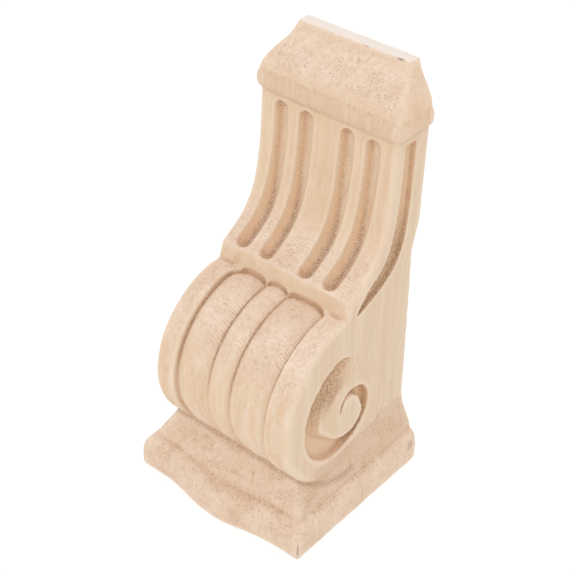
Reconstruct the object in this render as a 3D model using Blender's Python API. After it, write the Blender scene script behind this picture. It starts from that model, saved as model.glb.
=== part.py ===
"""A carved wooden corbel bracket: one block of pale wood with a moulded plate, a scroll and a fluted shaft.

It stands as in the photograph, with the deep moulded plate at the bottom. The back is the plane Y = 0,
the carved front faces -Y, and the object's origin is the middle of the back face. Metres, +Z up.
"""

import math

import bmesh
import bpy

# Overall sizes
height = 0.1755
plate_width = 0.080
plate_depth = 0.075

# Plate: a bowed, moulded block. Its neck line is the crease where the flat sides begin.
plate_height = 0.0308
plate_bow = 0.0043
bow_share = 0.72
fascia_round = 0.0024
fascia_height = 0.0080
quirk_height = 0.0150
plate_foot_inset = 0.0008
quirk_inset = 0.0034
quirk_inset_front = 0.0046
neck_inset_front = 0.0105
neck_ledge = 0.0003
fascia_corner_round = 0.0005
neck_corner_round = 0.0036
cyma_lean = 0.85

# Shaft: flat sides, and a front that sweeps forward to the scroll
shaft_width = 0.0614
shaft_depth = 0.0185
shaft_edge_round = 0.0016
sweep_hold = 0.765
sweep_kick_out = 0.0155
sweep_kick_up = 0.0090

# Band: the plain strip between the shaft and the scroll, leaning back as it rises
band_height = 0.0065
band_lean = 0.0021

# Scroll: a drum across the block. Its right end stands proud of the shaft's side towards the lower front,
# and its left end hardly does.
scroll_radius = 0.0345
scroll_reach = 0.0755
scroll_centre_height = 0.0540
scroll_flare_right = 0.0029
scroll_flare_left = 0.0003
flare_direction_deg = 47.0
flare_hinge = 0.74
scroll_edge_round = 0.0015

# Lobes carved round the scroll, between two plain borders. The middle one sits a little to the left.
border_width = 0.0091
middle_lobe_width = 0.0100
middle_lobe_shift = -0.0013
lobe_depth = 0.0033
lobe_rise = 0.0030
lobe_overlap = 0.0003
lobe_bottom_deg = -85.0

# Arch over each lobe, cut into the foot of the band. A length is how far that side of an arch runs down.
arch_rise = 0.0015
arch_cut = 0.0009
arch_inner_length = 0.0027
arch_left_length = 0.0078
arch_right_length = 0.0040

# Flutes of the shaft: two pairs, with a wider plain strip between them. Their feet all sit a little to the
# left.
flute_width = 0.0068
flute_depth = 0.0027
flute_inner_place = 0.0092
flute_outer_place = 0.0205
flute_lean = 0.0019
flute_top_gap = 0.0022
flute_bottom_gap = 0.0008

# Sunk panel on each side of the shaft: square at the top, it ends in a blunt point below the band's upper
# edge. The hold is how far each edge runs straight down, and the kick is its direction at the point.
panel_depth = 0.0018
panel_width = 0.0062
panel_margin = 0.0053
panel_top_gap = 0.0033
panel_tip_in = 0.0038
panel_tip_drop = 0.0078
panel_front_hold = 0.98
panel_front_kick = (0.0120, 0.0203)
panel_back_hold = 0.79
panel_back_kick = (0.0279, 0.0091)

# Volute on each side of the scroll: a spiral groove round a point below the drum's centre
volute_centre_depth = 0.0399
volute_centre_height = 0.0475
volute_radius = 0.0275
volute_first_turn = -0.045
volute_last_turn = 1.38
volute_depth = 0.0031
volute_lip = 0.0006
volute_wall_lean = 0.0004

# How the volute's groove changes on its way in. A row is (turns past the top, share of the volute's radius),
# and for the depth a share of the full depth.
volute_reaches = (
    (-0.045, 0.800), (0.00, 0.910), (0.04, 0.955), (0.11, 0.950), (0.20, 0.938), (0.30, 0.851),
    (0.40, 0.749), (0.50, 0.640), (0.60, 0.607), (0.70, 0.585), (0.80, 0.473), (0.90, 0.327),
    (1.00, 0.233), (1.10, 0.164), (1.20, 0.127), (1.38, 0.124),
)
volute_floors = (
    (-0.045, 0.036), (0.10, 0.044), (0.16, 0.091), (0.20, 0.156), (0.25, 0.182), (0.30, 0.265),
    (0.36, 0.298), (0.42, 0.255), (0.50, 0.153), (0.61, 0.073), (0.66, 0.095), (0.72, 0.167),
    (0.80, 0.160), (0.90, 0.080), (1.20, 0.029),
)
volute_slopes = (
    (-0.045, 0.190), (0.05, 0.370), (0.12, 0.330), (0.20, 0.236), (0.25, 0.175), (0.30, 0.116),
    (0.36, 0.058), (0.45, 0.029), (0.60, 0.018), (0.80, 0.029), (1.05, 0.044), (1.20, 0.036),
)
volute_depths = (
    (-0.045, -0.13), (0.03, 0.78), (0.15, 1.0), (0.90, 1.0), (1.05, 0.75), (1.20, 0.5), (1.38, -0.06),
)

# Cap: a bead under a slope that rises on three sides to a narrow flat top, swelling low and hollow above
cap_height = 0.0239
bead_height = 0.0078
bead_bulge = 0.0019
bead_foot_bulge = 0.0006
slope_foot_bulge = 0.0007
bead_corner_round = 0.0028
slope_corner_round = 0.0009
top_width = 0.0486
top_depth = 0.0059
slope_sway = 0.085

# Wane: the missing strip of the right rear arris
wane_depth = 0.0029
wane_slant = 2.4
wane_top_height = 0.1120
wane_deepest_height = 0.1000
wane_foot_height = 0.0380
wane_shoulder = 0.55
wane_tail = ((0.3, 0.68), (0.6, 0.36))

# Steps of the faceted surfaces
drum_steps = 72
arc_steps = 5
corner_steps = 3
arris_steps = 3
sweep_steps = 22
plate_front_steps = 14
volute_steps_per_turn = 36
bar_sides = 16
end_steps = 4
end_start = 0.3
arch_steps = 7
arch_crowding = 1.5
lobe_steps = 30
reed_steps = 12
length_samples = 400

# How far a cutter or a joined piece runs on past the surface that it works on
lap = 0.0040

wood_colour = (0.80, 0.62, 0.44, 1.0)
wood_roughness = 0.7
sharp_angle_deg = 35.0

# Sizes worked out from the ones above
shaft_half = shaft_width / 2
scroll_y = scroll_radius - scroll_reach
scroll_z = scroll_centre_height
band_foot = (scroll_y, scroll_z + scroll_radius)
band_head = (band_foot[0] + band_lean, band_foot[1] + band_height)
bead_z = height - cap_height


def clear_scene():
    for item in list(bpy.data.objects):
        bpy.data.objects.remove(item, do_unlink=True)


def add_object(name, bm):
    """Turns a finished bmesh into an object of the scene, with its faces pointing out."""
    bmesh.ops.recalc_face_normals(bm, faces=bm.faces)
    mesh = bpy.data.meshes.new(name)
    bm.to_mesh(mesh)
    bm.free()
    item = bpy.data.objects.new(name, mesh)
    bpy.context.scene.collection.objects.link(item)
    return item


def as_helper(item):
    item.hide_render = True
    item.display_type = "WIRE"
    return item


def combine(body, other, operation):
    modifier = body.modifiers.new(other.name, "BOOLEAN")
    modifier.operation = operation
    modifier.solver = "EXACT"
    modifier.use_self = True
    modifier.object = as_helper(other)


def skin(bm, rings):
    """Closes a solid over rings with as many points each, joined in order and filled at both ends."""
    loops = [[bm.verts.new(point) for point in ring] for ring in rings]
    for near, far in zip(loops, loops[1:]):
        for i, corner in enumerate(near):
            j = (i + 1) % len(near)
            bm.faces.new((corner, near[j], far[j], far[i]))
    bm.faces.new(loops[0])
    bm.faces.new(reversed(loops[-1]))


def skin_object(name, *solids):
    bm = bmesh.new()
    for rings in solids:
        skin(bm, rings)
    return add_object(name, bm)


def lerp(a, b, share):
    return a + (b - a) * share


def quarter(start, end, upright_start):
    """Quarter of an ellipse between two points, leaving start along Z when upright_start is true."""
    points = []
    for i in range(arc_steps + 1):
        turn = math.pi / 2 * i / arc_steps
        slow, fast = 1 - math.cos(turn), math.sin(turn)
        across, along = (slow, fast) if upright_start else (fast, slow)
        points.append((lerp(start[0], end[0], across), lerp(start[1], end[1], along)))
    return points


def corner_arc(half, depth, radius):
    """Left front corner in plan, rounded, from the side to the front."""
    points = []
    for i in range(corner_steps + 1):
        turn = math.pi / 2 * i / corner_steps
        points.append((-half + radius * (1 - math.cos(turn)), -depth + radius * (1 - math.sin(turn))))
    return points


def moulded_block(name, stations, bow_steps=1, bow=0.0):
    """Moulding wrapped round the front and both sides.

    A station is (half width, depth, height, corner radius, share of the bow).
    """
    rings = []
    for half, depth, z, radius, bow_here in stations:
        arc = corner_arc(half, depth, radius)
        plan = [(-half, 0.0)] + arc
        for i in range(1, bow_steps):
            x = (half - radius) * (2 * i / bow_steps - 1)
            across = min(abs(x) / (half * bow_share), 1.0)
            plan.append((x, -depth - bow * bow_here * math.cos(math.pi / 2 * across) ** 2))
        plan += [(-x, y) for x, y in reversed(arc)] + [(half, 0.0)]
        rings.append([(x, y, z) for x, y in plan])
    return skin_object(name, rings)


def plate_outline():
    """(share of the way out from neck to fascia, height) up the plate's profile."""
    run = plate_width / 2 - shaft_half - neck_ledge
    foot = 1 - plate_foot_inset / run
    quirk = 1 - quirk_inset / run
    outline = quarter((foot, 0.0), (1.0, fascia_round), upright_start=False)
    outline += quarter((1.0, fascia_height), (quirk, quirk_height), upright_start=True)
    rise = plate_height - quirk_height
    cyma_steps = 2 * arc_steps
    for i in range(1, cyma_steps + 1):
        share = i / cyma_steps
        cyma = (1 + math.cos(math.pi * share**cyma_lean)) / 2
        outline.append((quirk * cyma, quirk_height + rise * share))
    return outline


def make_plate():
    stations = []
    neck_half = shaft_half + neck_ledge
    neck_depth = plate_depth - neck_inset_front
    run = plate_width / 2 - neck_half
    quirk_out = 1 - quirk_inset / run
    quirk_front = 1 - quirk_inset_front / neck_inset_front
    for out, z in plate_outline():
        if out > quirk_out:
            out_front = lerp(quirk_front, 1.0, (out - quirk_out) / (1 - quirk_out))
        else:
            out_front = quirk_front * out / quirk_out
        half = neck_half + run * out
        depth = neck_depth + neck_inset_front * out_front
        radius = lerp(neck_corner_round, fascia_corner_round, out)
        stations.append((half, depth, z, radius, out_front))
    return moulded_block("plate", stations, plate_front_steps, plate_bow)


def make_cap():
    """The bead, then the slope above it.

    An outline point is (share of the way out from flat top to bead, height, bulge, corner radius).
    """
    outline = [(1.0, bead_z, bead_foot_bulge, bead_corner_round)]
    bead_steps = 2 * arc_steps
    for i in range(1, bead_steps):
        turn = math.pi * i / bead_steps
        rise = bead_height * (1 - math.cos(turn)) / 2
        bulge = max(bead_bulge * math.sin(turn), bead_foot_bulge)
        outline.append((1.0, bead_z + rise, bulge, bead_corner_round))
    slope_z = bead_z + bead_height
    slope_steps = 2 * arc_steps
    for i in range(slope_steps + 1):
        share = i / slope_steps
        out = 1 - share + slope_sway * math.sin(2 * math.pi * share)
        z = lerp(slope_z, height, share)
        outline.append((out, z, slope_foot_bulge * (1 - share), slope_corner_round))
    stations = []
    for out, z, bulge, radius in outline:
        half = lerp(top_width / 2, shaft_half, out) + bulge
        depth = lerp(top_depth, shaft_depth, out) + bulge
        stations.append((half, depth, z, radius, 0.0))
    return moulded_block("cap", stations)


def curve_point(knots, share):
    """Point (y, z) at this share of a cubic curve steered by four knots."""
    left = 1 - share
    weights = (left**3, 3 * left**2 * share, 3 * left * share**2, share**3)
    return tuple(sum(w * knot[axis] for w, knot in zip(weights, knots)) for axis in (0, 1))


def sweep_point(share):
    """Point (y, z) of the shaft's front, from under the bead (0) down to the band (1)."""
    drop = bead_z - band_head[1]
    knots = (
        (-shaft_depth, bead_z),
        (-shaft_depth, bead_z - sweep_hold * drop),
        (band_head[0] + sweep_kick_out, band_head[1] + sweep_kick_up),
        band_head,
    )
    return curve_point(knots, share)


def sweep_normal(share):
    """Unit vector (y, z) out of the shaft's front."""
    step = 0.001
    (y0, z0), (y1, z1) = sweep_point(max(share - step, 0)), sweep_point(min(share + step, 1))
    length = math.hypot(y1 - y0, z1 - z0)
    return (z1 - z0) / length, (y0 - y1) / length


def sweep_share_at(distance):
    """Share of the sweep at this distance along it, counted from the top, or from the band if negative."""
    points = [sweep_point(i / length_samples) for i in range(length_samples + 1)]
    lengths = [0.0]
    for (y0, z0), (y1, z1) in zip(points, points[1:]):
        lengths.append(lengths[-1] + math.hypot(y1 - y0, z1 - z0))
    target = distance if distance >= 0 else lengths[-1] + distance
    for i, length in enumerate(lengths):
        if length >= target:
            return i / length_samples
    return 1.0


def core_profile(inset):
    """Outline (y, z) of the shaft and band, seen from the side, with its front set back by inset."""
    top = bead_z + lap
    profile = [(0.0, top), (inset - shaft_depth, top)]
    for i in range(sweep_steps + 1):
        share = i / sweep_steps
        y, z = sweep_point(share)
        ny, nz = sweep_normal(share)
        profile.append((y - ny * inset, z - nz * inset))
    length = math.hypot(band_lean, band_height)
    ny, nz = -band_height / length, band_lean / length
    inside = lap / band_height
    y, z = (lerp(foot, head, -inside) for foot, head in zip(band_foot, band_head))
    profile.append((y - ny * inset, z - nz * inset))
    return profile + [(scroll_y + lap, plate_height / 2), (0.0, plate_height / 2)]


def make_core():
    """The shaft and the band, extruded across the block with rounded arrises and run down into the plate."""
    sections = []
    for i in range(arris_steps + 1):
        turn = math.pi / 2 * i / arris_steps
        x = shaft_half - shaft_edge_round * (1 - math.cos(turn))
        sections.append((x, shaft_edge_round * (1 - math.sin(turn))))
    sections = [(-x, inset) for x, inset in sections] + sections[::-1]
    return skin_object("corbel", [[(x, y, z) for y, z in core_profile(inset)] for x, inset in sections])


def side_x(side, y, z):
    """X of the scroll's end at this side: level with the shaft high at the back, proud low at the front."""
    slope = math.radians(flare_direction_deg)
    along = ((scroll_y - y) * math.cos(slope) + (scroll_z - z) * math.sin(slope)) / scroll_radius
    flare = scroll_flare_right if side > 0 else scroll_flare_left
    return side * (shaft_half + flare * (along + flare_hinge) / (1 + flare_hinge))


def make_drum():
    """The scroll's drum, a cylinder along X with rounded rims and gently splayed ends."""
    bm = bmesh.new()
    for side in (-1, 1):
        ring = []
        for i in range(drum_steps):
            turn = 2 * math.pi * (i + 0.5) / drum_steps
            y = scroll_y - scroll_radius * math.cos(turn)
            z = scroll_z + scroll_radius * math.sin(turn)
            ring.append(bm.verts.new((side_x(side, y, z), y, z)))
        bm.faces.new(ring)
    rims = list(bm.edges)
    bmesh.ops.bridge_loops(bm, edges=rims)
    bmesh.ops.recalc_face_normals(bm, faces=bm.faces)
    bmesh.ops.bevel(bm, geom=rims, offset=scroll_edge_round, segments=2, profile=0.5, affect="EDGES")
    return add_object("drum", bm)


def drum_point(x, turn, radius):
    return x, scroll_y - radius * math.cos(turn), scroll_z + radius * math.sin(turn)


def lobe_plan():
    """(name, centre, half width, left arch length, right arch length) of the three lobes."""
    field_half = shaft_half - border_width
    left_edge = middle_lobe_shift - middle_lobe_width / 2
    right_edge = middle_lobe_shift + middle_lobe_width / 2
    left_centre = (left_edge - field_half) / 2
    right_centre = (right_edge + field_half) / 2
    inner = arch_inner_length
    return (
        ("left", left_centre, left_edge - left_centre, arch_left_length, inner),
        ("middle", middle_lobe_shift, middle_lobe_width / 2, inner, inner),
        ("right", right_centre, right_centre - right_edge, inner, arch_right_length),
    )


def arch_share(length, above):
    """Share of a lobe's half width this far above the drum's top line, under a quarter of an ellipse."""
    climb = (above + length - arch_rise) / length
    return math.sqrt(1 - min(max(climb, 0.0), 1.0) ** 2)


def lobe_rows(left_length, right_length):
    """(angle, share to the left, share to the right) down a lobe, from inside the band to under the drum."""
    longest = max(left_length, right_length) - arch_rise
    rows = []
    for i in range(arch_steps + 1):
        above = lerp(arch_cut + lobe_overlap, -longest, (i / arch_steps) ** arch_crowding)
        shares = (arch_share(length, min(above, 0.0)) for length in (left_length, right_length))
        rows.append((math.pi / 2 + above / scroll_radius, *shares))
    start = rows[-1][0]
    bottom = math.radians(lobe_bottom_deg)
    for i in range(1, lobe_steps + 1):
        rows.append((lerp(start, bottom, i / lobe_steps), 1.0, 1.0))
    return rows


def make_lobe(name, centre, half, left_length, right_length):
    """Cutter that leaves a rounded reed, half an ellipse across, between two upright walls."""
    floor = scroll_radius - lobe_depth
    rings = []
    for turn, left, right in lobe_rows(left_length, right_length):
        west = centre - (half + lobe_overlap) * left
        east = centre + (half + lobe_overlap) * right
        rise = lobe_rise * (left + right) / 2
        section = [(east, scroll_radius + lap)]
        for i in range(reed_steps + 1):
            angle = math.pi * i / reed_steps
            x = (west + east) / 2 + (east - west) / 2 * math.cos(angle)
            section.append((x, floor + rise * math.sin(angle)))
        section.append((west, scroll_radius + lap))
        rings.append([drum_point(x, turn, radius) for x, radius in section])
    return skin_object("lobe_" + name, rings)


def make_arches():
    """Arched niches in the foot of the band, one over each lobe and a little narrower than it."""
    solids = []
    for _, centre, half, left_length, right_length in lobe_plan():
        outline = [(-half, -lobe_depth - lap), (half, -lobe_depth - lap)]
        for length, side in ((right_length, 1), (left_length, -1)):
            run = length - arch_rise
            arc = []
            for i in range(arch_steps):
                turn = math.pi / 2 * (i + 0.5) / arch_steps
                arc.append((side * half * math.cos(turn), -run + length * math.sin(turn)))
            outline += arc if side > 0 else arc[::-1]
        narrowed = 1 - lobe_overlap / half
        ring = [(centre + x * narrowed, band_foot[1] + z) for x, z in outline]
        solids.append([[(x, y, z) for x, z in ring] for y in (scroll_y - lap, scroll_y + arch_cut)])
    return skin_object("arches", *solids)


def flute_rings(centre):
    """A round bar with round ends that follows the sweep and leans left, its axis outside the surface."""
    radius = (flute_width**2 / 4 + flute_depth**2) / (2 * flute_depth)
    lift = radius - flute_depth
    top = sweep_share_at(flute_top_gap + flute_width / 2)
    bottom = sweep_share_at(-flute_bottom_gap - flute_width / 2)
    turns = [math.pi / 2 * (1 - (i + end_start) / end_steps) for i in range(end_steps)]
    stations = [(top, math.sin(turn), math.cos(turn)) for turn in turns]
    stations += [(lerp(top, bottom, i / sweep_steps), 0.0, 1.0) for i in range(sweep_steps + 1)]
    stations += [(bottom, -math.sin(turn), math.cos(turn)) for turn in reversed(turns)]
    rings = []
    for share, beyond, size in stations:
        y, z = sweep_point(share)
        ny, nz = sweep_normal(share)
        x = centre - flute_lean * (share - top) / (bottom - top)
        y += ny * lift + nz * radius * beyond
        z += nz * lift - ny * radius * beyond
        ring = []
        for i in range(bar_sides):
            turn = 2 * math.pi * (i + 0.5) / bar_sides
            out = radius * size * math.sin(turn)
            ring.append((x + radius * size * math.cos(turn), y + ny * out, z + nz * out))
        rings.append(ring)
    return rings


def make_flutes():
    places = (-flute_outer_place, -flute_inner_place, flute_inner_place, flute_outer_place)
    return skin_object("flutes", *(flute_rings(x) for x in places))


def panel_edge(y, hold, kick):
    """Edge of the side panel from its square top, at this depth y, down to its point."""
    top = bead_z - panel_top_gap
    tip_y = band_head[0] + panel_tip_in
    tip_z = band_head[1] - panel_tip_drop
    knots = ((y, top), (y, lerp(top, tip_z, hold)), (tip_y + kick[0], tip_z + kick[1]), (tip_y, tip_z))
    return [curve_point(knots, i / sweep_steps) for i in range(sweep_steps + 1)]


def make_panels():
    front_y = panel_margin - shaft_depth
    front = panel_edge(front_y, panel_front_hold, panel_front_kick)
    back = panel_edge(front_y + panel_width, panel_back_hold, panel_back_kick)
    outline = front + back[-2::-1]
    solids = []
    for side in (-1, 1):
        depths = (shaft_half - panel_depth, shaft_half + lap)
        solids.append([[(side * x, y, z) for y, z in outline] for x in depths])
    return skin_object("panels", *solids)


def eased(table, place):
    """Smooth value between the rows (place, value) of a short table."""
    for (a, low), (b, high) in zip(table, table[1:]):
        if place <= b:
            share = max(place - a, 0) / (b - a)
            return lerp(low, high, share * share * (3 - 2 * share))
    return table[-1][1]


def curved(table, place):
    """Value on a smooth curve through the rows (place, value) of a short table."""
    if place >= table[-1][0]:
        return table[-1][1]
    slopes = [(high - low) / (b - a) for (a, low), (b, high) in zip(table, table[1:])]
    middle = [(before + after) / 2 for before, after in zip(slopes, slopes[1:])]
    tangents = [slopes[0]] + middle + [slopes[-1]]
    for i, ((a, low), (b, high)) in enumerate(zip(table, table[1:])):
        if place <= b:
            share = (place - a) / (b - a)
            bend = (b - a) * share * (1 - share)
            sway = (1 - share) * (tangents[i] - slopes[i]) - share * (tangents[i + 1] - slopes[i])
            return lerp(low, high, share) + bend * sway


def volute_rings(side):
    """Spiral cutter: an upright outer wall, a flat floor and a slope up to the crest of the coil."""
    rings = []
    count = round((volute_last_turn - volute_first_turn) * volute_steps_per_turn)
    for i in range(count + 1):
        turns = lerp(volute_first_turn, volute_last_turn, i / count)
        angle = math.pi / 2 - 2 * math.pi * turns
        depth = volute_depth * eased(volute_depths, turns)
        outer = volute_radius * curved(volute_reaches, turns)
        foot = outer - volute_wall_lean
        inner = foot - volute_radius * curved(volute_floors, turns)
        crest = inner - volute_radius * curved(volute_slopes, turns)
        section = ((outer, lap), (foot, -depth), (inner, -depth), (crest, volute_lip), (crest, lap))
        ring = []
        for radius, rise in section:
            y = -volute_centre_depth - radius * math.cos(angle)
            z = volute_centre_height + radius * math.sin(angle)
            ring.append((side_x(side, y, z) + side * rise, y, z))
        rings.append(ring)
    return rings


def make_wane():
    """A strip off the right rear arris, abrupt at its upper end and fading away downwards."""
    shoulder_height = (wane_top_height + wane_deepest_height) / 2
    stations = [(wane_top_height, 0.0), (shoulder_height, wane_shoulder), (wane_deepest_height, 1.0)]
    for down, share in wane_tail:
        stations.append((lerp(wane_deepest_height, wane_foot_height, down), share))
    stations.append((wane_foot_height, 0.0))
    rings = []
    for z, share in stations:
        cut = wane_depth * share
        inner_x = shaft_half - wane_slant * (cut + lap)
        outer_y = -cut - lap / wane_slant
        rings.append([(inner_x, lap, z), (shaft_half + lap, lap, z), (shaft_half + lap, outer_y, z)])
    return skin_object("wane", rings)


def wood():
    material = bpy.data.materials.new("pale wood")
    material.use_nodes = True
    shader = material.node_tree.nodes["Principled BSDF"]
    shader.inputs["Base Color"].default_value = wood_colour
    shader.inputs["Roughness"].default_value = wood_roughness
    shader.inputs["Metallic"].default_value = 0.0
    return material


def main():
    clear_scene()
    drum = make_drum()
    for lobe in lobe_plan():
        combine(drum, make_lobe(*lobe), "DIFFERENCE")
    corbel = make_core()
    combine(corbel, make_arches(), "DIFFERENCE")
    combine(corbel, drum, "UNION")
    combine(corbel, make_plate(), "UNION")
    combine(corbel, make_cap(), "UNION")
    combine(corbel, make_flutes(), "DIFFERENCE")
    combine(corbel, make_panels(), "DIFFERENCE")
    combine(corbel, skin_object("volutes", volute_rings(-1), volute_rings(1)), "DIFFERENCE")
    combine(corbel, make_wane(), "DIFFERENCE")
    corbel.data.materials.append(wood())
    corbel.data.shade_smooth()
    corbel.data.set_sharp_from_angle(angle=math.radians(sharp_angle_deg))
    for item in bpy.data.objects:
        item.location.z = -height / 2


main()
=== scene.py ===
"""Looks of a carved wooden corbel bracket: one piece of pale wood, freshly carved and left unfinished."""

import math
from types import SimpleNamespace

import bpy
import numpy as np
from mathutils import Matrix, Vector, kdtree


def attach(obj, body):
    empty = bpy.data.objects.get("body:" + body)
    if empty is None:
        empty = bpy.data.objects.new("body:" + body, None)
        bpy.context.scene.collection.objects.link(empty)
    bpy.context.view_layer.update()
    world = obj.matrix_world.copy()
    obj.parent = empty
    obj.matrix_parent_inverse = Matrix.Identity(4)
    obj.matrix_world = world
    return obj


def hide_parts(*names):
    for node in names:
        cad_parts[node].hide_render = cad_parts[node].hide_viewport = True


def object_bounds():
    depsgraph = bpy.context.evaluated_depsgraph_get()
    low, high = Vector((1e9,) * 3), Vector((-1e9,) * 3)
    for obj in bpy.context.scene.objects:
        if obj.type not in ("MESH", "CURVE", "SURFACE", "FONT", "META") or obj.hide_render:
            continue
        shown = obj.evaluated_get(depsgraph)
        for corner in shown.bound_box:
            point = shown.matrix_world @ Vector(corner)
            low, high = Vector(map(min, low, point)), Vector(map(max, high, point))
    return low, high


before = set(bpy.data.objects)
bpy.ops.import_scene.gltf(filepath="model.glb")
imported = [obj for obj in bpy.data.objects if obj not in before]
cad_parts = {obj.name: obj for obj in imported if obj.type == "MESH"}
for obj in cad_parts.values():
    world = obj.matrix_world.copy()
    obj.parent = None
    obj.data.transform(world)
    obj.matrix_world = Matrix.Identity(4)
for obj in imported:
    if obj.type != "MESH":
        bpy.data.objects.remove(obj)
cad_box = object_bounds()

# Sizes of the object that the looks refer to, in millimetres. Z is counted from the underside here, and Y
# from the back, negative towards the front.
HEIGHT = 175.5
SHAFT_HALF = 30.7
SWEEP = ((-18.5, 151.6), (-18.5, 108.3), (-23.4, 104.0), (-38.9, 95.0))
FLUTE_PLACES = (-20.5, -9.2, 9.2, 20.5)
FLUTE_HALF, FLUTE_LEAN = 3.4, 1.9
FLUTE_FOOT, FLUTE_HEAD = 88, 152
PANEL_FOOT, PANEL_HEAD, PANEL_BACK, PANEL_FRONT = 86.0, 149.6, 6.0, 1.9
LOBES_HALF = 21.6
SCROLL_Y, SCROLL_Z, SCROLL_RADIUS = -41.0, 54.0, 34.5
FLARE_RIGHT, FLARE_LEFT, FLARE_HINGE, FLARE_SLOPE = 2.9, 0.3, 0.74, math.radians(47)
VOLUTE_Y, VOLUTE_Z, VOLUTE_REACH = -39.9, 47.5, 29.0
NEAR_ENDS, NEAR_SIDES = 25.0, 28.0

# Parts of the volute's floor: scraped parts by the way its tools left them, the one at the top partly
# painted shade, and a part low at the front painted paler as painted light. Direction and spread in degrees,
# 90 upwards and 0 to the front
COIL_SHOULDER, SCRAPED_AND_SHADED_TOP, SCRAPED_UNDER = (58, 42), (52, 46), (-122, 32)
SCRAPED_BACK, LIT_FLOOR_TURN = (150, 22), (-52, 44)

# Height below which the side panel's floor starts to look torn, and where it is fully so
PANEL_TORN_FROM, PANEL_TORN_TO = 124, 104

# Camera, at the photograph's angle: radians, metres, and shares of the frame
CAMERA_PLACE = (0.25695, -0.36327, 0.30408)
CAMERA_YAW, CAMERA_PITCH, CAMERA_ROLL = -0.677565, 0.629074, 0.034510
CAMERA_LENS = 87.553
CAMERA_SHIFT = (0.021538, -0.013063)

# Carved surface
VOXEL = 0.00042
SOFTENING_ROUNDS = 2
COIL_ROUNDS = 22
CREASE_ROUNDS = 9
CAVITY_ROUNDS = 70
MOST_TRIANGLES = 194000
WAVE_HEIGHT, WAVE_LENGTH, WAVE_SEED, WAVE_COUNT = 0.00005, 0.009, 3, 28

# Floor, most of its white being emission, and light: metres and watts
FLOOR_HALF, FLOOR_GAP = 3.0, 0.0001
FLOOR_BASE, FLOOR_EMISSION = 0.20, 0.83
WORLD_STRENGTH = 1.03
KEY_PLACE, KEY_TARGET = (0.3, -0.9, 1.2), (0.0, -0.03, 0.0)
KEY_SIZE, KEY_POWER = 0.9, 1.0


def surface_mesh(obj):
    """The object's mesh with its modifiers applied."""
    graph = bpy.context.evaluated_depsgraph_get()
    return bpy.data.meshes.new_from_object(obj.evaluated_get(graph))


def vertex_places(mesh):
    places = np.empty(len(mesh.vertices) * 3, np.float32)
    mesh.vertices.foreach_get("co", places)
    return places.reshape(-1, 3).astype(float)


def vertex_normals(mesh):
    normals = np.empty(len(mesh.vertices) * 3, np.float32)
    mesh.vertex_normals.foreach_get("vector", normals)
    return normals.reshape(-1, 3).astype(float)


def edge_ends(mesh):
    ends = np.empty(len(mesh.edges) * 2, np.int32)
    mesh.edges.foreach_get("vertices", ends)
    return ends.reshape(-1, 2)


def relaxed(places, ends, rounds):
    """Rows after replacing each this many times by the mean of its neighbours' rows and its own."""
    a, b = ends[:, 0], ends[:, 1]
    count = len(places)
    weight = np.bincount(a, minlength=count) + np.bincount(b, minlength=count) + 1.0
    for _ in range(rounds):
        total = places.copy()
        for axis in range(places.shape[1]):
            column = places[:, axis]
            total[:, axis] += np.bincount(a, column[b], count) + np.bincount(b, column[a], count)
        places = total / weight[:, None]
    return places


def wave_field(places, wavelength, seed):
    """Smooth random field, about -1 to 1, whose bumps are about a wavelength across."""
    rng = np.random.default_rng(seed)
    directions = rng.normal(size=(WAVE_COUNT, 3))
    directions /= np.linalg.norm(directions, axis=1)[:, None]
    counts = 2 * math.pi / (wavelength * rng.uniform(0.7, 1.5, WAVE_COUNT))
    phases = rng.uniform(0, 2 * math.pi, WAVE_COUNT)
    field = np.zeros(len(places))
    for direction, count, phase in zip(directions, counts, phases):
        field += np.sin(places @ direction * count + phase)
    return field * math.sqrt(2 / WAVE_COUNT) / 1.5


def step(values, low, high):
    """0 below low, 1 above high, and a smooth rise between."""
    share = np.clip((values - low) / (high - low), 0, 1)
    return share * share * (3 - 2 * share)


def hump(values, middle, spread):
    """1 at the middle, falling off to both sides like a bell."""
    return np.exp(-(((values - middle) / spread) ** 2))


def side_recess(x, y, z):
    """How deep a point lies under the flat side of the shaft or the splayed end of the scroll."""
    along = ((SCROLL_Y - y) * math.cos(FLARE_SLOPE) + (SCROLL_Z - z) * math.sin(FLARE_SLOPE)) / SCROLL_RADIUS
    splay = np.where(x > 0, FLARE_RIGHT, FLARE_LEFT) * (along + FLARE_HINGE) / (1 + FLARE_HINGE)
    on_drum = np.hypot(y - SCROLL_Y, z - SCROLL_Z) < SCROLL_RADIUS
    return SHAFT_HALF + np.where(on_drum, np.maximum(splay, 0), 0) - np.abs(x)


def sweep_at(z):
    """Share of the way down the shaft's front at this height, and the depth of the front there."""
    shares = np.linspace(1, 0, 101)
    weights = ((1 - shares) ** 3, 3 * (1 - shares) ** 2 * shares, 3 * (1 - shares) * shares**2, shares**3)
    depths, heights = (sum(w * knot[axis] for w, knot in zip(weights, SWEEP)) for axis in (0, 1))
    return np.interp(z, heights, shares), np.interp(z, heights, depths)


def round_volute(y, z):
    """Direction in degrees, 90 upwards and 0 to the front, and distance from the middle of the volute."""
    return np.degrees(np.arctan2(z - VOLUTE_Z, VOLUTE_Y - y)), np.hypot(y - VOLUTE_Y, z - VOLUTE_Z)


def coil_shoulder(x, y, z):
    """Where the volute's coil turns over softly into its groove, at the top and the front."""
    turn, reach = round_volute(y, z)
    in_coil = step(24.0 - reach, 0, 1.5) * step(reach - 7.0, 0, 2.0)
    return in_coil * hump(turn, *COIL_SHOULDER) * step(np.abs(x), NEAR_ENDS, NEAR_ENDS + 1)


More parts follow.
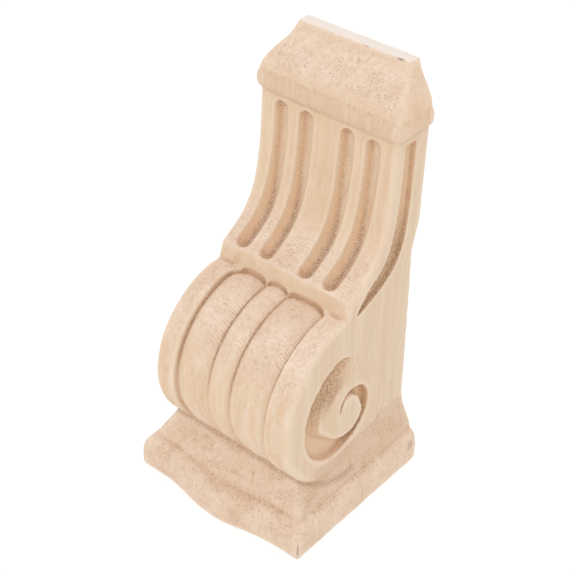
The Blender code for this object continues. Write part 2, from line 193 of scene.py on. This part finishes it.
def carving_marks(places, normals, hollow, soft_recess):
    """Shares, 0 to 1, of the marks that the carving tools left at each point, and of the places of painted
    shade and painted light.
    """
    x, y, z = places.T * 1000
    z = z + HEIGHT / 2
    share, front = sweep_at(z)
    recess = side_recess(x, y, z)
    turn, reach = round_volute(y, z)
    in_volute = step(VOLUTE_REACH - reach, 0.0, 0.8) * step(np.abs(x), NEAR_ENDS, NEAR_ENDS + 1)
    in_panel = step(y - front, PANEL_FRONT, PANEL_FRONT + 0.6) * step(-y, PANEL_BACK, PANEL_BACK + 0.6)
    in_panel *= step(z, PANEL_FOOT, PANEL_FOOT + 1) * step(PANEL_HEAD - z, 0.0, 0.6)
    in_panel *= step(np.abs(x), NEAR_SIDES, NEAR_SIDES + 0.4)
    volute = in_volute * step(recess, 0.25, 0.75)
    # The coil's rounded shoulder takes the floor's colours: partly tool marks, partly painted shade where it
    # turns over
    shoulder = coil_shoulder(x, y, z) * np.maximum(step(soft_recess, 0.02, 0.60), step(reach, 10.5, 14.5))
    volute = np.maximum(volute, shoulder)
    panel = in_panel * step(recess, 0.10, 0.35)
    # The floor share takes the cut floors' colour: partly the rough-cut wood, partly painted shade of the
    # recess
    floor = np.maximum(volute, panel)
    inner_back = hump(turn, *SCRAPED_BACK) * step(20 - reach, 0, 3)
    back_low = np.maximum(hump(turn, *SCRAPED_UNDER), 0.5 * inner_back)
    # The scraped brown at the top of the volute is partly painted shade
    scraped = np.maximum(hump(turn, *SCRAPED_AND_SHADED_TOP), back_low) * volute
    scraped = np.maximum(scraped, panel * (0.15 + 0.65 * step(-z, -PANEL_TORN_FROM, -PANEL_TORN_TO)))
    # Painted light: the volute's floor painted paler low at the front
    smooth = volute * hump(turn, *LIT_FLOOR_TURN)

    # Rough strokes lie left in a flute at its head and right at its foot, and its left wall is smooth, with
    # painted bounce light glowing orange on it
    offsets = x[:, None] + (FLUTE_LEAN * share)[:, None] - np.array(FLUTE_PLACES)
    offset = offsets[np.arange(len(x)), np.abs(offsets).argmin(1)]
    flute = step(FLUTE_HALF + 0.3 - np.abs(offset), 0, 0.5) * step(hollow, -0.05, 0.12)
    flute *= step(z, FLUTE_FOOT, FLUTE_FOOT + 4) * step(FLUTE_HEAD - z, 0, 3)
    flute *= step(-normals[:, 1], -0.3, 0.1)
    low = step(share, 0.15, 0.70)
    scored = flute * hump(offset, -1.7 + 2.3 * low, 1.0 + 0.4 * low) * (0.50 + 0.50 * low)
    # Painted bounce light: an orange glow on each flute's left wall
    warm = flute * step(-offset, 0.2 - 0.4 * low, 1.8 - 0.9 * low)

    out = np.hypot(y - SCROLL_Y, z - SCROLL_Z) - SCROLL_RADIUS
    # Under the scroll, where the drum meets the plate: tool strokes with painted shade of the overhang
    under_scroll = step(2.8 - out, 0, 2.2) * step(out, -0.5, 0.0) * step(31.5 - z, 0, 1) * step(-y, 35, 38)
    lobes = step(LOBES_HALF + 0.5 - np.abs(x), 0, 0.6) * step(-y, 41, 46) * step(91 - z, 0, 2)
    scored = np.maximum(scored, 0.75 * lobes * step(hollow, 0.12, 0.45) * step(z, 46, 74))
    scored = np.maximum(scored, 0.65 * under_scroll)
    marks = {"floor": floor, "scraped": scraped, "smooth": smooth, "scored": scored, "warm": warm}
    return {**marks, "lobes": lobes, "flute": flute}


def carved_piece():
    """Copy of the corbel with softened arrises, a faintly uneven surface and fields for its tool marks,
    painted shade and painted light.
    """
    rough = bpy.data.objects.new("rough_corbel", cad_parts["corbel"].data.copy())
    bpy.context.scene.collection.objects.link(rough)
    remesh = rough.modifiers.new("remesh", "REMESH")
    remesh.mode = "VOXEL"
    remesh.voxel_size = VOXEL
    fine = surface_mesh(rough)
    bpy.data.objects.remove(rough)

    ends = edge_ends(fine)
    places = relaxed(vertex_places(fine), ends, SOFTENING_ROUNDS)
    x, y, z = places.T * 1000
    z = z + HEIGHT / 2
    recess = relaxed(side_recess(x, y, z)[:, None], ends, COIL_ROUNDS)
    places += (relaxed(places, ends, COIL_ROUNDS) - places) * coil_shoulder(x, y, z)[:, None]
    fine.vertices.foreach_set("co", places.astype(np.float32).ravel())
    fine.update()
    normals = vertex_normals(fine)
    near = relaxed(places, ends, CREASE_ROUNDS)
    far = relaxed(near, ends, CAVITY_ROUNDS - CREASE_ROUNDS)
    crease, hollow = (((blurred - places) * normals).sum(1) * 1000 for blurred in (near, far))
    fields = np.column_stack((hollow, crease, recess))
    places += normals * (WAVE_HEIGHT * (wave_field(places, WAVE_LENGTH, WAVE_SEED) - 1))[:, None]
    places = np.clip(places, np.array(cad_box[0]), np.array(cad_box[1]))
    fine.vertices.foreach_set("co", places.astype(np.float32).ravel())

    full = bpy.data.objects.new("full_corbel", fine)
    bpy.context.scene.collection.objects.link(full)
    thin = full.modifiers.new("thin", "DECIMATE")
    thin.ratio = min(1.0, MOST_TRIANGLES / (2 * len(fine.polygons)))
    mesh = surface_mesh(full)
    mesh.name = "carved_corbel"
    bpy.data.objects.remove(full)

    tree = kdtree.KDTree(len(places))
    for i, place in enumerate(places):
        tree.insert(place, i)
    tree.balance()
    hollow, crease, recess = fields[[tree.find(v.co)[1] for v in mesh.vertices]].T
    marks = carving_marks(vertex_places(mesh), vertex_normals(mesh), hollow, recess)
    marks.update({"hollow": hollow, "crease": crease})
    for name, values in marks.items():
        mesh.attributes.new(name, "FLOAT", "POINT").data.foreach_set("value", values.astype(np.float32))
    mesh.shade_smooth()
    piece = bpy.data.objects.new("carved_corbel", mesh)
    bpy.context.scene.collection.objects.link(piece)
    return piece


class Graph:
    """Short hand for building a node tree."""

    def __init__(self, material):
        material.use_nodes = True
        self.tree = material.node_tree
        self.tree.nodes.clear()

    def node(self, kind, inputs=None, **settings):
        made = self.tree.nodes.new(kind)
        for name, value in settings.items():
            setattr(made, name, value)
        for name, value in (inputs or {}).items():
            self.set_input(made.inputs[name], value)
        return made

    def set_input(self, socket, value):
        if isinstance(value, bpy.types.NodeSocket):
            self.tree.links.new(value, socket)
        else:
            socket.default_value = value

    def math(self, operation, a, b=0.5):
        return self.node("ShaderNodeMath", {0: a, 1: b}, operation=operation).outputs[0]

    def product(self, first, *others):
        for other in others:
            first = self.math("MULTIPLY", first, other)
        return first

    def most(self, a, b):
        return self.math("MAXIMUM", a, b)

    def swing(self, noise, width):
        """The noise, moved to lie round 0, times a width."""
        return self.product(self.math("SUBTRACT", noise, 0.5), width)

    def ramp(self, value, low, high, to_low=0.0, to_high=1.0, smooth=True):
        kind = "SMOOTHSTEP" if smooth else "LINEAR"
        fields = {"Value": value, "From Min": low, "From Max": high, "To Min": to_low, "To Max": to_high}
        return self.node("ShaderNodeMapRange", fields, interpolation_type=kind).outputs["Result"]

    def between(self, share, at_none, at_full):
        """Straight line from one value, where the share is 0, to the other, where it is 1."""
        return self.ramp(share, 0.0, 1.0, at_none, at_full, smooth=False)

    def stretched(self, place, scale):
        return self.node("ShaderNodeVectorMath", {0: place, 1: scale}, operation="MULTIPLY").outputs[0]

    def noise(self, place, scale, detail, roughness):
        fields = {"Vector": self.stretched(place, scale), "Scale": 1.0, "Detail": detail}
        fields.update({"Roughness": roughness, "Distortion": 0.0})
        return self.node("ShaderNodeTexNoise", fields).outputs["Fac"]

    def cells(self, place, scale):
        """Distance to the nearest of scattered points, this many of them to a unit of length."""
        return self.node("ShaderNodeTexVoronoi", {"Vector": place, "Scale": scale}).outputs["Distance"]

    def mix(self, share, a, b):
        made = self.node("ShaderNodeMix", data_type="RGBA", blend_type="MIX")
        for index, value in ((0, share), (6, a), (7, b)):
            self.set_input(made.inputs[index], value)
        return made.outputs[2]

    def paint(self, colour, tint, share, strength=None):
        """The colour, covered by a tint where its share is high."""
        if strength is not None:
            share = self.product(share, strength)
        return self.mix(share, colour, rgb(*tint))


def rgb(red, green, blue):
    """Linear colour from one written as 0 to 255 in sRGB."""
    def linear(value):
        share = value / 255
        return share / 12.92 if share <= 0.04045 else ((share + 0.055) / 1.055) ** 2.4
    return (linear(red), linear(green), linear(blue), 1.0)


# Fields on the mesh that the material reads: two of the form itself, then the marks of the tools and the
# places of painted shade and painted light
FIELDS = ("hollow", "crease", "floor", "scraped", "smooth", "scored", "warm", "flute", "lobes")

# Noises that the wood is drawn with: features per millimetre along X, Y and Z, detail and roughness.
# The grain runs upright, so what follows it changes slowly along Z.
NOISES = {
    "bands": ((0.16, 0.16, 0.006), 2.0, 0.5),
    "grain": ((1.25, 1.25, 0.022), 3.0, 0.65),
    "streaks": ((0.30, 0.30, 0.012), 2.0, 0.6),
    "dashes": ((2.0, 2.0, 0.22), 1.0, 0.5),
    "clouds": ((0.09, 0.09, 0.05), 3.0, 0.6),
    "mottle": ((0.70, 0.70, 0.42), 4.0, 0.75),
    "fuzz": ((1.6, 1.6, 1.6), 3.0, 0.7),
    "specks": ((1.9, 1.9, 1.9), 2.0, 0.8),
    "strokes": ((1.3, 1.3, 1.5), 3.0, 0.80),
    "sway": ((0.18, 0.18, 0.18), 2.0, 0.5),
    "chatter_patches": ((0.10, 0.10, 0.10), 2.0, 0.5),
    "speckle_patches": ((0.10, 0.10, 0.16), 2.0, 0.5),
    "pore_patches": ((0.12, 0.12, 0.12), 2.0, 0.5),
}

# Heights between which a tone or mark fades in: none of it at the first and all of it at the second
PLATE_HEAD = (32.0, 29.0)
COVE_FOOT, COVE_HEAD = (13.0, 17.0), (31.0, 28.0)
PLATE_LINE_HEAD = (26.0, 20.0)
LOW_LOBES, HIGH_LOBES = (76.0, 44.0), (66.0, 78.0)
BELOW_SHAFT = (95.0, 80.0)
SHAFT_FOOT, LOW_SHAFT = (95.0, 97.0), (122.0, 104.0)
SIDES_UNDER_CAP = (154.0, 150.0)
BEAD_FOOT, BEAD_HEAD = (151.0, 152.5), (160.0, 159.0)
LOW_CAP_FOOT, LOW_CAP_HEAD = (158.0, 160.5), (170.0, 163.0)
PLANED_TOP = (HEIGHT - 1.2, HEIGHT - 0.5)

# Chatter of the cutter, and the comb of strokes in scored places
CHATTER_PITCH, CHATTER_SWAY = 1.02, 1.9
COMB_TURN, COMB_SWAY, COMB_SHARE = 5.3, 2.4, 0.18

# The faint line on the right side of the plate: its distance from the back, its lean, and where it starts
PLATE_LINE_DEPTH, PLATE_LINE_LEAN, PLATE_LINE_X = 34.5, 0.136, (33.0, 34.0)

BUMP_DISTANCE, BUMP_STRENGTH = 0.00014, 0.8

# Colours, 0 to 255 in sRGB
STRAIGHT_PALE, STRAIGHT_DARK = (228, 203, 175), (223, 194, 164)
GRAIN_DARK, GRAIN_PALE = (211, 176, 142), (238, 216, 190)
STREAK_PALE, STREAK_TAWNY = (233, 217, 200), (226, 188, 153)
CROSSCUT_PALE, CROSSCUT_DARK = (235, 211, 189), (226, 198, 174)
MOTTLE_DARK, MOTTLE_PALE = (211, 177, 148), (244, 226, 208)
SIDE_TONE, BEAD_TONE = (212, 195, 171), (212, 180, 151)
# Painted shade for the hollow moulding of the plate's sides, then the plate's own tone
COVE_SHADE, PLATE_TONE = (200, 170, 142), (216, 190, 164)
FLOOR_PALE_WITH_SHADE, FLOOR_DARK_WITH_SHADE = (227, 194, 160), (217, 182, 147)
FLOOR_SCRAPED, FLOOR_PAINTED_LIGHT = (196, 156, 121), (222, 192, 161)
WARM_BOUNCE_LIGHT = (233, 190, 150)
# Painted shade in hollows and along creases
HOLLOW_SHADE, CREASE_SHADE = (196, 154, 121), (178, 141, 110)
# Painted shade and painted highlight on the chatter's steps
CHATTER_SHADE, CHATTER_HIGHLIGHT = (206, 168, 138), (246, 230, 214)
SCORED_WOOD, TORN_DARK, TORN_PALE = (200, 163, 132), (150, 113, 86), (232, 206, 176)
SPECKLE, PORE, FLECK, DASH = (194, 153, 119), (164, 124, 94), (252, 238, 222), (186, 148, 114)
PLATE_LINE = (176, 138, 108)
# Planed top with a painted highlight, and a painted highlight on arrises
PLANED_AND_LIT_TOP, ARRIS_HIGHLIGHT = (239, 229, 221), (243, 224, 202)

# Small stains and bruises: place of the middle, radii, colour and strength. Z is counted from the underside.
STAINS = (
    ((20.2, -5.9, 175.5), (2.2, 0.6, 0.8), (140, 108, 100), 0.75),
    ((5.7, -5.9, 175.5), (2.0, 0.5, 0.8), (176, 138, 116), 0.6),
    ((-33.4, -19.0, 156.5), (1.6, 5.0, 3.4), (170, 150, 140), 0.55),
    ((-40.2, -75.2, 5.0), (1.2, 2.0, 5.0), (150, 125, 105), 0.5),
    ((40.0, -75.0, 5.5), (0.9, 0.9, 5.5), (150, 118, 98), 0.6),
    ((39.6, -4.0, 9.8), (2.0, 2.4, 2.6), (168, 148, 128), 0.5),
    ((28.2, -26.0, 133.0), (0.5, 1.2, 0.9), (150, 108, 84), 0.7),
    ((11.0, -68.6, 69.2), (0.6, 1.0, 0.6), (140, 112, 104), 0.7),
    ((29.0, -69.0, 67.2), (0.6, 1.0, 0.6), (140, 112, 104), 0.7),
    ((28.6, -70.0, 56.0), (0.9, 3.0, 7.0), (196, 156, 136), 0.35),
    ((31.6, -69.5, 43.0), (0.9, 3.0, 3.0), (190, 146, 122), 0.5),
    ((33.2, -21.0, 160.4), (1.2, 2.4, 0.8), (170, 138, 118), 0.5),
)
STAIN_RAGGEDNESS = 1.4


def wood_sockets(g):
    """Sockets for where a point of the wood is, which way it faces, its fields and its noises."""
    place = g.node("ShaderNodeTexCoord").outputs["Object"]
    foot = (0.0, 0.0, HEIGHT / 2000)
    lifted = g.node("ShaderNodeVectorMath", {0: place, 1: foot}, operation="ADD").outputs[0]
    at = SimpleNamespace(mm=g.stretched(lifted, (1000.0, 1000.0, 1000.0)))
    at.x, at.depth, at.height = g.node("ShaderNodeSeparateXYZ", {0: at.mm}).outputs
    for name in FIELDS:
        setattr(at, name, g.node("ShaderNodeAttribute", attribute_name=name).outputs["Fac"])
    for name, (scale, detail, roughness) in NOISES.items():
        setattr(at, name, g.noise(at.mm, scale, detail, roughness))

    normal = g.node("ShaderNodeNewGeometry").outputs["Normal"]
    at.facing = g.node("ShaderNodeSeparateXYZ", {0: normal}).outputs
    at.sideways = g.math("ABSOLUTE", at.facing["X"])
    at.off_back = g.ramp(at.depth, -0.3, -1.1)
    at.on_plate = g.product(g.ramp(at.height, *PLATE_HEAD), at.off_back)
    at.low_lobes = g.product(at.lobes, g.ramp(at.height, *LOW_LOBES))

    # Cross-cut faces look up or down along the grain. Most of the plate looks cross-cut too.
    at.plate_crosscut = g.product(at.on_plate, 0.75)
    at.crosscut = g.most(g.ramp(g.math("ABSOLUTE", at.facing["Z"]), 0.22, 0.75), at.plate_crosscut)
    return at


def plain_wood(g, at):
    """Colour of the wood itself: slow bands, fine upright grain, and a cloudier cross-cut grain."""
    straight = g.mix(g.ramp(at.bands, 0.35, 0.65), rgb(*STRAIGHT_PALE), rgb(*STRAIGHT_DARK))
    straight = g.paint(straight, GRAIN_DARK, g.ramp(at.grain, 0.42, 0.72, 0.0, 0.42))
    straight = g.paint(straight, GRAIN_PALE, g.ramp(at.grain, 0.48, 0.28, 0.0, 0.35))
    pale = g.product(g.ramp(at.streaks, 0.50, 0.68), g.ramp(at.height, *BELOW_SHAFT, 0.12, 0.36))
    tawny = g.product(g.ramp(at.streaks, 0.49, 0.34), g.ramp(at.height, *BELOW_SHAFT, 0.22, 0.36))
    straight = g.paint(straight, STREAK_PALE, pale)
    straight = g.paint(straight, STREAK_TAWNY, tawny)
    on_sides = g.product(g.ramp(at.sideways, 0.60, 0.92, 0.0, 0.38), g.ramp(at.height, *SIDES_UNDER_CAP))
    straight = g.paint(straight, SIDE_TONE, on_sides)
    across = g.mix(g.ramp(at.clouds, 0.35, 0.65), rgb(*CROSSCUT_PALE), rgb(*CROSSCUT_DARK))
    across = g.paint(across, MOTTLE_DARK, g.ramp(at.mottle, 0.46, 0.70, 0.0, 0.55))
    across = g.paint(across, MOTTLE_PALE, g.ramp(at.mottle, 0.48, 0.28, 0.0, 0.45))
    return g.mix(at.crosscut, straight, across)


def with_moulding_tones(g, at, colour):
    """The bead's darker straight grain, and the plate, with painted shade in the hollow moulding of its
    sides.
    """
    on_bead = g.product(g.ramp(at.height, *BEAD_FOOT), g.ramp(at.height, *BEAD_HEAD), at.off_back)
    colour = g.paint(colour, BEAD_TONE, g.product(on_bead, g.ramp(at.grain, 0.40, 0.62, 0.30, 0.80)))
    # Painted shade in the hollow moulding on the plate's sides
    cove_shade = g.product(g.ramp(at.height, *COVE_FOOT), g.ramp(at.height, *COVE_HEAD))
    cove_shade = g.product(cove_shade, g.ramp(at.sideways, 0.30, 0.80))
    colour = g.paint(colour, COVE_SHADE, cove_shade, 0.42)
    return g.paint(colour, PLATE_TONE, at.on_plate, 0.16)


def with_cut_floors(g, at, colour):
    """Darker cut floors of the side panels and volutes, their colour partly the rough-cut wood and partly
    painted shade of the recess, and painted bounce light glowing orange on the smooth walls in the flutes.
    """
    # Cut floors: the rough-cut wood's tone with painted shade of the recess in it
    tone = g.mix(g.ramp(at.grain, 0.35, 0.65), rgb(*FLOOR_PALE_WITH_SHADE), rgb(*FLOOR_DARK_WITH_SHADE))
    # Scraped floors are darker; in the volute this is partly painted shade
    tone = g.paint(tone, FLOOR_SCRAPED, at.scraped, 0.40)
    colour = g.mix(g.product(at.floor, 0.94), colour, tone)
    # Painted bounce light glowing orange on the flutes' left walls
    return g.paint(colour, WARM_BOUNCE_LIGHT, at.warm, 0.60)


def with_painted_hollow_shade(g, at, colour):
    """Painted shade in deep places and along creases, hardly any of it low between the lobes."""
    rough_hollow = g.math("ADD", at.hollow, g.swing(at.fuzz, 0.60))
    upward = g.ramp(at.facing["Z"], 0.0, 0.5)
    # Painted shade in hollows, strongest where they face up, weaker low between the lobes and in the flutes
    deep = g.product(g.ramp(rough_hollow, 0.08, 0.80), g.between(upward, 0.30, 0.75))
    deep = g.product(deep, g.between(at.low_lobes, 1.0, 0.35), g.between(at.flute, 1.0, 0.45))
    colour = g.paint(colour, HOLLOW_SHADE, deep)
    # Painted shade along creases, faint low between the lobes and on the plate
    crease_shade = g.product(g.ramp(at.crease, 0.035, 0.16, 0.0, 0.50), g.ramp(at.mottle, 0.38, 0.60, 0.25, 1.0))
    crease_shade = g.product(crease_shade, g.ramp(g.most(at.low_lobes, at.plate_crosscut), 0.0, 1.0, 1.0, 0.20))
    return g.paint(colour, CREASE_SHADE, crease_shade)


def with_chatter(g, at, colour):
    """Chatter of the cutter: fine steps at even depths, seen in patches where the grain was cut across, its
    ridges shaped by bump and also given painted shade and painted highlight in bands.
    """
    swayed = g.math("ADD", at.depth, g.product(at.sway, CHATTER_SWAY))
    steps = g.math("SINE", g.product(swayed, 2 * math.pi / CHATTER_PITCH))
    sloping = g.ramp(at.facing["X"], 0.08, 0.36, 0.12, 1.0)
    on_lobes = g.product(g.ramp(at.height, *HIGH_LOBES), sloping, at.lobes)
    on_shaft = g.product(g.ramp(at.height, *SHAFT_FOOT), g.ramp(at.height, *LOW_SHAFT, 0.0, 0.30))
    unmarked = g.math("SUBTRACT", 1.0, g.most(at.scored, at.warm))
    patches = g.ramp(at.chatter_patches, 0.44, 0.64)
    chatter = g.product(at.crosscut, g.most(on_lobes, g.product(on_shaft, unmarked)))
    chatter = g.product(chatter, g.between(patches, 0.30, 1.0))
    # Painted shade and painted highlight on alternate sides of the chatter's steps
    colour = g.paint(colour, CHATTER_SHADE, g.product(chatter, g.ramp(steps, 0.1, 0.9, 0.0, 0.58)))
    colour = g.paint(colour, CHATTER_HIGHLIGHT, g.product(chatter, g.ramp(steps, -0.1, -0.9, 0.0, 0.46)))
    return colour, g.product(chatter, steps)


def with_torn_fibres(g, at, colour):
    """Torn fibres in the volutes and low in the panels, and strokes in the flutes and under the scroll,
    where the darker scored tone is partly painted shade; also painted light on the volute's floor low at the
    front.
    """
    run = g.math("ADD", at.depth, g.math("ADD", at.height, g.product(at.sway, COMB_SWAY)))
    comb = g.math("SINE", g.product(run, COMB_TURN))
    comb = g.product(g.math("ADD", comb, 1.0), 0.5)
    comb = g.math("ADD", g.product(comb, COMB_SHARE), at.strokes)
    torn = g.product(at.scraped, 0.85, g.ramp(at.strokes, 0.44, 0.60))
    torn = g.most(torn, g.product(at.scored, g.ramp(comb, 0.52, 0.74)))
    # The scored tone is partly painted shade under the scroll
    colour = g.paint(colour, SCORED_WOOD, at.scored, 0.45)
    colour = g.paint(colour, TORN_DARK, torn, 0.80)
    torn_pale = g.product(g.most(at.scraped, at.scored), g.ramp(at.strokes, 0.42, 0.30))
    colour = g.paint(colour, TORN_PALE, torn_pale, 0.50)
    # Painted light: the volute's floor painted paler low at the front
    colour = g.paint(colour, FLOOR_PAINTED_LIGHT, at.smooth, 0.75)
    speckled = g.product(g.ramp(at.speckle_patches, 0.50, 0.64), at.on_plate, g.ramp(at.strokes, 0.46, 0.58))
    return g.paint(colour, SPECKLE, speckled, 0.55), torn


def with_pores(g, at, colour):
    """Open pores: dots on cross-cut faces, thickest low on the cap, and dashes along the grain elsewhere."""
    low_cap = g.product(g.ramp(at.height, *LOW_CAP_FOOT), g.ramp(at.height, *LOW_CAP_HEAD))
    patches = g.most(g.ramp(at.pore_patches, 0.38, 0.58, 0.25, 0.85), at.plate_crosscut)
    dot_share = g.product(g.most(low_cap, patches), at.crosscut)
    holes = g.product(g.ramp(g.cells(at.mm, 0.85), 0.30, 0.14), g.ramp(at.mottle, 0.42, 0.54))
    dots = g.product(g.most(g.product(g.ramp(at.specks, 0.55, 0.68), 0.55), holes), dot_share)
    flecks = g.product(g.ramp(g.cells(at.mm, 1.15), 0.30, 0.12), g.most(low_cap, 0.25), at.crosscut)
    flecks = g.product(flecks, g.ramp(at.mottle, 0.56, 0.44))
    dashes = g.product(g.ramp(at.dashes, 0.67, 0.77), g.math("SUBTRACT", 1.0, at.crosscut))
    colour = g.paint(colour, PORE, dots, 0.74)
    colour = g.paint(colour, FLECK, flecks, 0.65)
    return g.paint(colour, DASH, dashes, 0.45), dots


def with_plate_line(g, at, colour):
    """A faint line down the right side of the plate, which is a glue joint or a fine crack."""
    away = g.math("ADD", g.math("ADD", at.depth, PLATE_LINE_DEPTH), g.product(at.height, PLATE_LINE_LEAN))
    away = g.math("ABSOLUTE", g.math("ADD", away, g.swing(at.mottle, 0.25)))
    line = g.product(g.ramp(away, 0.38, 0.12), g.ramp(at.x, *PLATE_LINE_X))
    return g.paint(colour, PLATE_LINE, g.product(line, g.ramp(at.height, *PLATE_LINE_HEAD)), 0.28)


def with_planed_top_and_highlights(g, at, colour):
    """The planed top, left paler and given a painted highlight from the light above, and a painted highlight
    on convex arrises.
    """
    # Planed wood with a painted highlight on the upward-facing top
    top = g.product(g.ramp(at.height, *PLANED_TOP), g.ramp(at.facing["Z"], 0.75, 0.93))
    colour = g.paint(colour, PLANED_AND_LIT_TOP, top, 0.90)
    # Painted highlight on convex arrises
    return g.paint(colour, ARRIS_HIGHLIGHT, g.ramp(at.hollow, -0.10, -0.50, 0.0, 0.28))


def with_stains(g, at, colour):
    for middle, radii, tint, strength in STAINS:
        offset = g.node("ShaderNodeVectorMath", {0: at.mm, 1: middle}, operation="SUBTRACT").outputs[0]
        scaled = g.stretched(offset, tuple(1 / radius for radius in radii))
        reach = g.node("ShaderNodeVectorMath", {0: scaled}, operation="LENGTH").outputs["Value"]
        ragged = g.math("ADD", reach, g.swing(at.fuzz, STAIN_RAGGEDNESS))
        colour = g.paint(colour, tint, g.ramp(ragged, 1.15, 0.35, 0.0, strength))
    return colour


def wood_material():
    material = bpy.data.materials.new("carved_wood")
    g = Graph(material)
    at = wood_sockets(g)
    colour = with_cut_floors(g, at, with_moulding_tones(g, at, plain_wood(g, at)))
    colour, ripples = with_chatter(g, at, with_painted_hollow_shade(g, at, colour))
    colour, torn = with_torn_fibres(g, at, colour)
    colour, dots = with_pores(g, at, colour)
    colour = with_planed_top_and_highlights(g, at, with_plate_line(g, at, colour))
    colour = with_stains(g, at, colour)

    heights = g.product(at.grain, 0.30)
    for marks, depth in ((dots, 0.7), (torn, 1.2), (ripples, 0.45)):
        heights = g.math("SUBTRACT", heights, g.product(marks, depth))
    heights = g.math("ADD", heights, g.product(at.fuzz, 0.25))
    relief = {"Height": heights, "Distance": BUMP_DISTANCE, "Strength": BUMP_STRENGTH}
    bump = g.node("ShaderNodeBump", relief)

    fields = {"Base Color": colour, "Roughness": 0.75, "IOR": 1.45, "Normal": bump.outputs[0]}
    fields["Specular IOR Level"] = 0.22
    shader = g.node("ShaderNodeBsdfPrincipled", fields)
    g.node("ShaderNodeOutputMaterial", {"Surface": shader.outputs[0]})
    return material


def make_floor():
    half = FLOOR_HALF
    z = -HEIGHT / 2000 - FLOOR_GAP
    mesh = bpy.data.meshes.new("floor")
    corners = [(-half, -half, z), (half, -half, z), (half, half, z), (-half, half, z)]
    mesh.from_pydata(corners, [], [(0, 1, 2, 3)])
    material = bpy.data.materials.new("floor_white")
    g = Graph(material)
    fields = {"Base Color": (FLOOR_BASE, FLOOR_BASE, FLOOR_BASE, 1.0), "Roughness": 0.9}
    fields["Specular IOR Level"] = 0.0
    fields.update({"Emission Color": (1.0, 1.0, 1.0, 1.0), "Emission Strength": FLOOR_EMISSION})
    shader = g.node("ShaderNodeBsdfPrincipled", fields)
    g.node("ShaderNodeOutputMaterial", {"Surface": shader.outputs[0]})
    mesh.materials.append(material)
    floor = bpy.data.objects.new("floor", mesh)
    bpy.context.scene.collection.objects.link(floor)


def area_light(name, place, target, size, power):
    data = bpy.data.lights.new(name, "AREA")
    data.shape = "DISK"
    data.size = size
    data.energy = power
    light = bpy.data.objects.new(name, data)
    bpy.context.scene.collection.objects.link(light)
    light.location = place
    light.rotation_euler = (Vector(target) - Vector(place)).to_track_quat("-Z", "Y").to_euler()


def make_light():
    world = bpy.data.worlds.new("studio")
    world.use_nodes = True
    background = world.node_tree.nodes["Background"]
    background.inputs["Color"].default_value = (1.0, 1.0, 1.0, 1.0)
    background.inputs["Strength"].default_value = WORLD_STRENGTH
    bpy.context.scene.world = world
    area_light("key", KEY_PLACE, KEY_TARGET, KEY_SIZE, KEY_POWER)


def make_camera():
    yaw, pitch, roll = CAMERA_YAW, CAMERA_PITCH, CAMERA_ROLL
    forward = Vector((math.sin(yaw) * math.cos(pitch), math.cos(yaw) * math.cos(pitch), -math.sin(pitch)))
    level = Vector((math.cos(yaw), -math.sin(yaw), 0.0))
    upright = level.cross(forward)
    right = math.cos(roll) * level + math.sin(roll) * upright
    up = -math.sin(roll) * level + math.cos(roll) * upright
    data = bpy.data.cameras.new("camera")
    data.sensor_width = 36.0
    data.lens = CAMERA_LENS
    data.shift_x, data.shift_y = CAMERA_SHIFT
    camera = bpy.data.objects.new("camera", data)
    bpy.context.scene.collection.objects.link(camera)
    turn = Matrix((right, up, -forward)).transposed().to_4x4()
    camera.matrix_world = Matrix.Translation(CAMERA_PLACE) @ turn
    bpy.context.scene.camera = camera


make_camera()
make_light()
make_floor()
corbel = carved_piece()
corbel.data.materials.clear()
corbel.data.materials.append(wood_material())
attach(corbel, "root")
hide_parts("corbel")
bpy.context.scene.view_settings.view_transform = "Standard"

bpy.context.view_layer.update()
